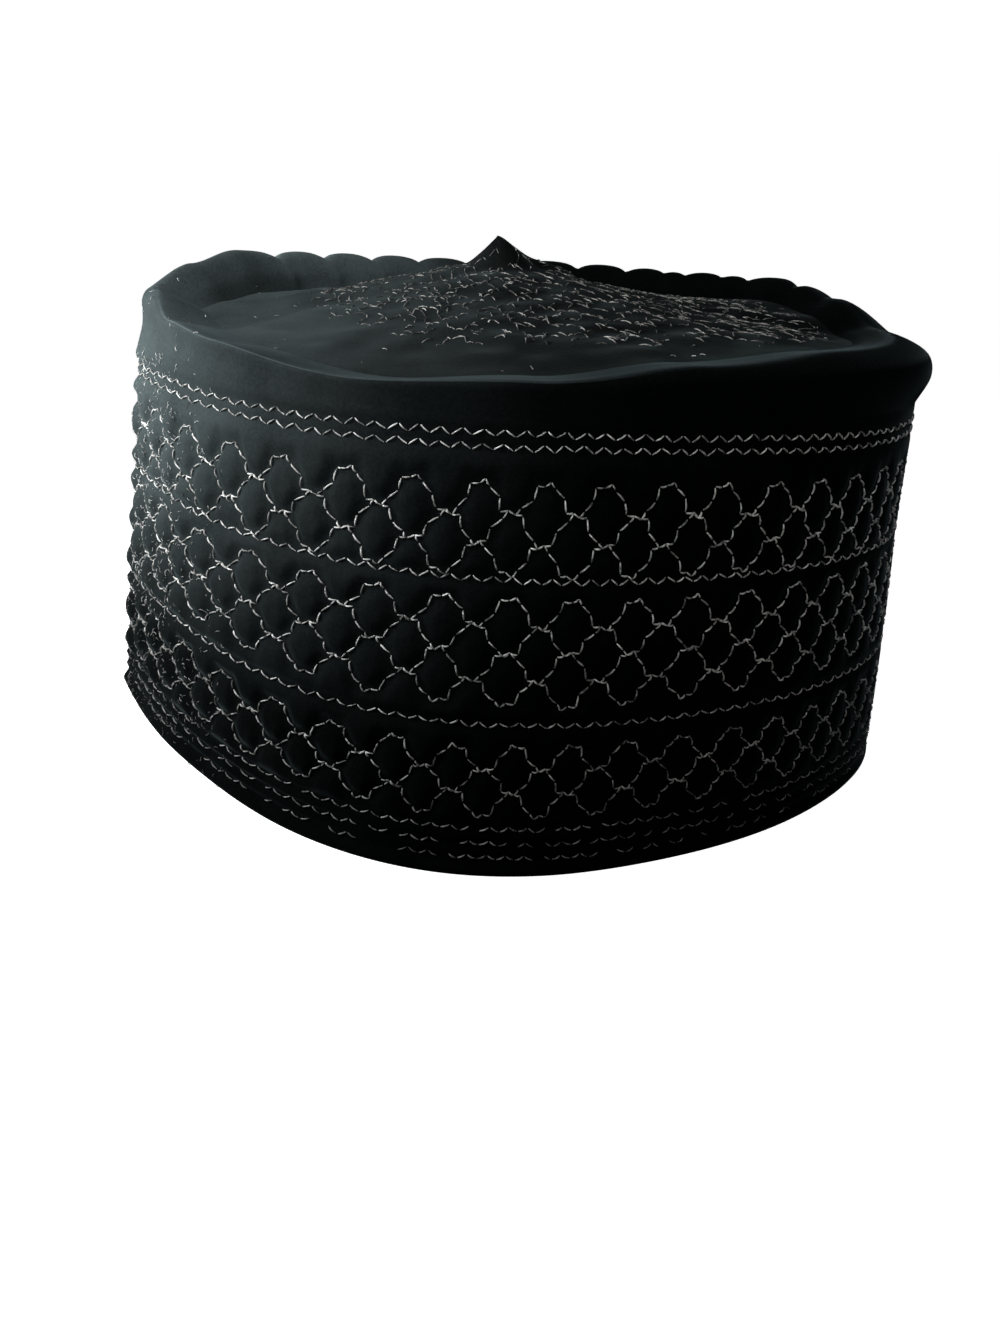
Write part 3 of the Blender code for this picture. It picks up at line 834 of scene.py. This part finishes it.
def thread(name, dark, light, bright_from):
    """Smooth twisted thread, grey changing by stitch, with painted glints in flecks and darker near the hem.
    """
    material, tree, shader = new_material(name, {"Roughness": 0.45, "Specular IOR Level": 0.4})
    place = put(tree, "ShaderNodeTexCoord").outputs["Object"]
    # Coarse noise: the thread's own tone from stitch to stitch. Fine noise: painted glints of its strands.
    tone_and_glints = mixed(tree, noise_at(tree, place, 420.0), noise_at(tree, place, 2200.0), 0.6)
    grey = coloured(tree, tone_and_glints, bright_from, dark, bright_from + BRIGHT_SPAN, light)
    # Painted shade: the grey gets darker towards the hem.
    height = put(tree, "ShaderNodeSeparateXYZ", (place,)).outputs[2]
    grey = scaled(tree, grey, share_between(tree, height, *HEM_DARKENING))
    tree.links.new(grey, shader.inputs["Base Color"])
    add_bump(tree, shader, noise_at(tree, place, 5200.0), 0.3, 0.0001)
    return material


SILVER = thread("silver_thread", (0.10, 0.105, 0.10), (0.80, 0.81, 0.79), 0.40)
WORN = thread("worn_thread", (0.025, 0.026, 0.025), (0.58, 0.58, 0.55), 0.47)
print("threads:", SILVER.name, "and", WORN.name)

# %% [markdown]
# Sewing a line is one modifier with that tree. Lines that belong together are stacked on one empty mesh, so
# each adds its stitches to what came before, and the result is copied into a plain mesh.

# %% Helper: a piece made by a node tree
FIRST_SEED = 11
SEED_STEP = 7


def made_piece(name, group, settings):
    """Plain mesh of all that a node tree makes when it runs once for each dictionary of its inputs."""
    host = show(name + "_host", bpy.data.meshes.new(name + "_host"))
    for number, values in enumerate(settings):
        modifier = host.modifiers.new("step", "NODES")
        modifier.node_group = group
        set_inputs(modifier, {"Seed": FIRST_SEED + SEED_STEP * number, **values})
    ready = host.evaluated_get(bpy.context.evaluated_depsgraph_get())
    mesh = bpy.data.meshes.new_from_object(ready)
    mesh.name = name
    bpy.data.objects.remove(host)
    piece = show(name, mesh)
    print(name + ":", len(settings), "steps,", len(mesh.polygons), "faces")
    return piece


# %% Sew the rows and the lattices
THREAD_RADIUS = 0.00017
LATTICE_THREAD_RADIUS = 0.00019
THREAD_ARCH = 0.00060
WANDER = 0.00018
DRIFT = 0.0016
LATTICE_SWING = 0.00045
strip_sizes = {"Cloth": band, "Thread": SILVER, "Strip Length": STRIP_LENGTH, "Strip Height": BAND_HEIGHT}
thread_sizes = {"Thread Radius": THREAD_RADIUS, "Arch": THREAD_ARCH, "Wander": WANDER, "Drift": DRIFT}


def row_line(row):
    stitches = 2 * round(STRIP_LENGTH / STITCH_STEP / 2.0)
    own = {"Stitches": stitches, "Waves": 1, "Line Height": row.height, "Swing": row.swing}
    return {**strip_sizes, **thread_sizes, **own, "Drift": 0.3 * DRIFT, "Missing Share": row.missing}


def lattice_lines(lattice):
    rise = (lattice.crest - lattice.trough) / lattice.waves
    cells = cells_round(lattice)
    lines = []
    for wave in range(lattice.waves):
        own = {
            "Stitches": 2 * round(cells * CELL_STITCHES / 2.0),
            "Waves": cells,
            "Wave Start": crest_start(lattice) + 0.5 * wave,
            "Line Height": lattice.crest - (wave + 0.5) * rise,
            "Wave Height": rise * WAVE_OVERLAP,
            "Crest Rounding": CREST_ROUNDING,
            "Swing": LATTICE_SWING,
            "Thread Radius": LATTICE_THREAD_RADIUS,
        }
        lines.append({**strip_sizes, **thread_sizes, **own, "Missing Share": 0.004})
    return lines


row_lines = [row_line(row) for row in STITCH_ROWS]
wave_lines = [line for lattice in LATTICES for line in lattice_lines(lattice)]
rows = made_piece("row_stitches", SEWING, row_lines)
lattices = made_piece("lattice_stitches", SEWING, wave_lines)

# %% [markdown]
# The crown is stitched in rings of waves round the peak. The same tree sews them: for each ring, the strip
# is as long as that ring, and its height is the crown's radius. The rings are flatter than circles, which
# makes them shorter.

# %% Sew the crown
CROWN_LINES = 19
INNER_LINE = 0.10
OUTER_LINE = 0.98
CROWN_STEP = 0.0016
CROWN_CELL = 0.0095
RING_SHORTENING = 0.8
WAVE_SHIFT = 0.37


def crown_line(number):
    share = INNER_LINE + (OUTER_LINE - INNER_LINE) * number / (CROWN_LINES - 1)
    length = 2.0 * math.pi * CROWN_RADIUS * share * RING_SHORTENING
    waves = round(length / CROWN_CELL)
    return {
        "Cloth": crown_piece,
        "Thread": WORN,
        "Stitches": 2 * round(length / CROWN_STEP / 2.0),
        "Waves": waves,
        "Wave Start": WAVE_SHIFT * number,
        "Line Height": share * CROWN_RADIUS,
        "Wave Height": 0.0060,
        "Strip Length": length,
        "Strip Height": CROWN_RADIUS,
        "Swing": 0.0005,
        "Thread Radius": 0.00012,
        "Arch": 0.0004,
        "Wander": 0.0008,
        "Drift": 0.004,
        "Missing Share": 0.42,
    }


crown_lines = [crown_line(number) for number in range(CROWN_LINES)]
crown_sewing = made_piece("crown_stitches", SEWING, crown_lines)

# %% [markdown]
# Short fibres cling to the velvet, most of all at the left end and on the crown, where the light catches
# them. Points are scattered on the cloth by chance, and each gets one bent fibre that is turned and sized
# by chance.

# %% Scatter the lint
LINT_INPUTS = {
    "Object": ("Cloth",),
    "Float": ("Density", "None From", "Full From", "Fibre Length"),
    "Int": ("Seed",),
    "Material": ("Lint",),
}


def lint_tree():
    tree, given = new_tree("scattered_lint", LINT_INPUTS)
    cloth = put(tree, "GeometryNodeObjectInfo", {"Object": given["Cloth"]})
    spot = put(tree, "ShaderNodeSeparateXYZ", (put(tree, "GeometryNodeInputPosition").outputs[0],)).outputs
    share = share_between(tree, spot[0], given["None From"], given["Full From"])
    density = maths(tree, "MULTIPLY", share, given["Density"])
    feed = {"Mesh": shown(cloth, "Geometry"), "Density": density, "Seed": given["Seed"]}
    points = put(tree, "GeometryNodeDistributePointsOnFaces", feed)
    bend = {"Resolution": 4, "Start": (-0.5, 0.0, 0.0), "Middle": (0.1, 0.4, 0.3), "End": (0.5, 0.0, 0.1)}
    line = put(tree, "GeometryNodeCurveQuadraticBezier", bend)
    profile = put(tree, "GeometryNodeCurvePrimitiveCircle", {"Resolution": 3, "Radius": 0.06})
    fibre = put(tree, "GeometryNodeCurveToMesh", {"Curve": shown(line), "Profile Curve": shown(profile)})
    chance = {"Min": (-0.4, -0.4, -math.pi), "Max": (0.4, 0.4, math.pi), "Seed": given["Seed"]}
    spin = put(tree, "FunctionNodeRandomValue", chance, data_type="FLOAT_VECTOR")
    feed = {"Rotation": shown(points, "Rotation"), "Rotate By": shown(spin)}
    turned = put(tree, "FunctionNodeRotateRotation", feed, rotation_space="LOCAL")
    size = put(tree, "FunctionNodeRandomValue", {"Min": 0.4, "Max": 1.3, "Seed": given["Seed"]})
    size = maths(tree, "MULTIPLY", shown(size), given["Fibre Length"])
    feed = {"Points": shown(points), "Instance": shown(fibre), "Rotation": shown(turned), "Scale": size}
    end_tree(tree, given, put(tree, "GeometryNodeInstanceOnPoints", feed), given["Lint"])
    return tree


fibres = {"Lint": SILVER, "Fibre Length": 0.0011}
left_end = {**fibres, "None From": -0.066, "Full From": -0.098}
lint_settings = [
    {**left_end, "Cloth": band, "Density": 260000.0},
    {**left_end, "Cloth": roll, "Density": 40000.0},
    {**fibres, "Cloth": crown_piece, "None From": 0.2, "Full From": 0.1, "Density": 7000.0},
]
lint = made_piece("lint", lint_tree(), lint_settings)

# %% [markdown]
# Cloth has thickness, and Solidify gives it inwards, away from the face that shows. The band already has
# its two faces. Edges of cloth stay sharp, or their shading would draw a line along every seam.

# %% Give the roll and the crown their thickness
for piece in (roll, crown_piece):
    cloth = piece.modifiers.new("cloth", "SOLIDIFY")
    cloth.thickness = CLOTH
    cloth.offset = -1.0
    ready = piece.evaluated_get(bpy.context.evaluated_depsgraph_get())
    thin = piece.data
    piece.data = bpy.data.meshes.new_from_object(ready)
    piece.modifiers.clear()
    bpy.data.meshes.remove(thin)
for piece in (band, roll, crown_piece):
    piece.data.set_sharp_from_angle(angle=math.radians(60.0))
    print(piece.name + ":", len(piece.data.polygons), "faces")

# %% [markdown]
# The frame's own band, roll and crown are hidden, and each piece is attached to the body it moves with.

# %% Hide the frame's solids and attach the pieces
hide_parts("band")
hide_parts("rim_roll")
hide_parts("crown")
for piece in (band, roll, crown_piece, rows, lattices, crown_sewing, lint):
    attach(piece, "root")

# %% [markdown]
# The table is a sheet that rises behind the cap, so that no horizon shows. The lamps are weak, so the sheet
# glows by itself to look white, and it is hidden from the rays that light the cap.

# %% The table
TABLE_HALF = 1.6
TABLE_BACK = 1.5
TABLE_RISE = 1.6
TABLE_BEND = 0.5
TABLE_SINK = 0.0002
BEND_STEPS = 12


def table_sheet():
    section = [(-TABLE_HALF, 0.0), (TABLE_BACK - TABLE_BEND, 0.0)]
    for step in range(1, BEND_STEPS + 1):
        turn = 0.5 * math.pi * step / BEND_STEPS
        section.append((
            TABLE_BACK - TABLE_BEND + TABLE_BEND * math.sin(turn),
            TABLE_BEND - TABLE_BEND * math.cos(turn),
        ))
    section.append((TABLE_BACK, TABLE_RISE))
    points = [(side * TABLE_HALF * 2.0, y, z - TABLE_SINK) for y, z in section for side in (-1, 1)]
    faces = [(2 * row, 2 * row + 1, 2 * row + 3, 2 * row + 2) for row in range(len(section) - 1)]
    mesh = bpy.data.meshes.new("table")
    mesh.from_pydata(points, [], faces)
    mesh.shade_smooth()
    return mesh


table = show("table", table_sheet())
paper = new_material("white_table", {
    "Base Color": (0.86, 0.86, 0.86, 1.0),
    "Roughness": 0.8,
    "Specular IOR Level": 0.1,
    "Emission Color": (1.0, 1.0, 1.0, 1.0),
    "Emission Strength": 1.0,
})[0]
table.data.materials.append(paper)
table.visible_diffuse = False
table.visible_glossy = False
print("table:", len(table.data.polygons), "faces")

# %% [markdown]
# The light comes from the left and from above. One small lamp stands close to the left end, a stronger one
# above it grazes the front and the top, and a weak one above the camera shows the thread. Their narrow
# spread lets the light fall off towards the hem.

# %% Light


def soft_lamp(name, place, target, size, power, spread):
    data = bpy.data.lights.new(name, "AREA")
    data.shape = "DISK"
    data.size = size
    data.energy = power
    data.spread = math.radians(spread)
    lamp = bpy.data.objects.new(name, data)
    lamp.location = place
    lamp.rotation_euler = (Vector(target) - Vector(place)).to_track_quat("-Z", "Y").to_euler()
    bpy.context.scene.collection.objects.link(lamp)
    print(name + ":", power, "W")


soft_lamp("near_left_lamp", (-0.28, -0.02, 0.12), (-0.10, 0.0, 0.08), 0.08, 0.16, 70.0)
soft_lamp("high_left_lamp", (-0.24, -0.10, 0.36), (-0.06, 0.02, 0.11), 0.12, 0.19, 60.0)
soft_lamp("front_lamp", (-0.08, -0.28, 0.30), (0.0, -0.05, 0.13), 0.12, 0.050, 50.0)
world = bpy.data.worlds.new("studio")
bpy.context.scene.world = world
world.use_nodes = True
background = world.node_tree.nodes["Background"].inputs
background["Color"].default_value = (0.95, 0.98, 1.0, 1.0)
background["Strength"].default_value = 0.012
bpy.context.scene.view_settings.view_transform = "Standard"

# %% [markdown]
# The camera stands close in front of the cap and looks down on it by about twenty degrees. It is turned a
# little to the right and leans by a few degrees, as a hand-held one does.

# %% The camera
IMAGE_HEIGHT = 1333.0
SENSOR_HEIGHT = 36.0
FOCAL_PIXELS = 847.0
CENTRE_PIXEL = 559.5
CAMERA_PLACE = (-0.02077, -0.2306, 0.12736)
CAMERA_PAN = math.radians(5.15)
CAMERA_PITCH = math.radians(20.73)
CAMERA_ROLL = math.radians(3.80)
CAMERA_TURN = math.radians(-2.51)


def photo_camera():
    turn = Matrix.Rotation(CAMERA_TURN, 3, "Z")
    place = turn @ Vector(CAMERA_PLACE)
    level = Vector((math.sin(CAMERA_PAN), math.cos(CAMERA_PAN), 0.0)) * math.cos(CAMERA_PITCH)
    ahead = turn @ (level - Vector((0.0, 0.0, math.sin(CAMERA_PITCH))))
    aside = turn @ Vector((math.cos(CAMERA_PAN), -math.sin(CAMERA_PAN), 0.0))
    above = aside.cross(ahead)
    right = aside * math.cos(CAMERA_ROLL) + above * math.sin(CAMERA_ROLL)
    over = above * math.cos(CAMERA_ROLL) - aside * math.sin(CAMERA_ROLL)
    data = bpy.data.cameras.new("camera")
    data.sensor_fit = "VERTICAL"
    data.sensor_height = SENSOR_HEIGHT
    data.lens = FOCAL_PIXELS / IMAGE_HEIGHT * SENSOR_HEIGHT
    data.shift_y = (CENTRE_PIXEL - 0.5 * IMAGE_HEIGHT) / IMAGE_HEIGHT
    data.clip_start = 0.01
    camera = bpy.data.objects.new("camera", data)
    camera.matrix_world = Matrix((
        (right.x, over.x, -ahead.x, place.x),
        (right.y, over.y, -ahead.y, place.y),
        (right.z, over.z, -ahead.z, place.z),
        (0.0, 0.0, 0.0, 1.0),
    ))
    bpy.context.scene.collection.objects.link(camera)
    return camera


bpy.context.scene.camera = photo_camera()
print("camera at", [round(side, 3) for side in bpy.context.scene.camera.matrix_world.translation])
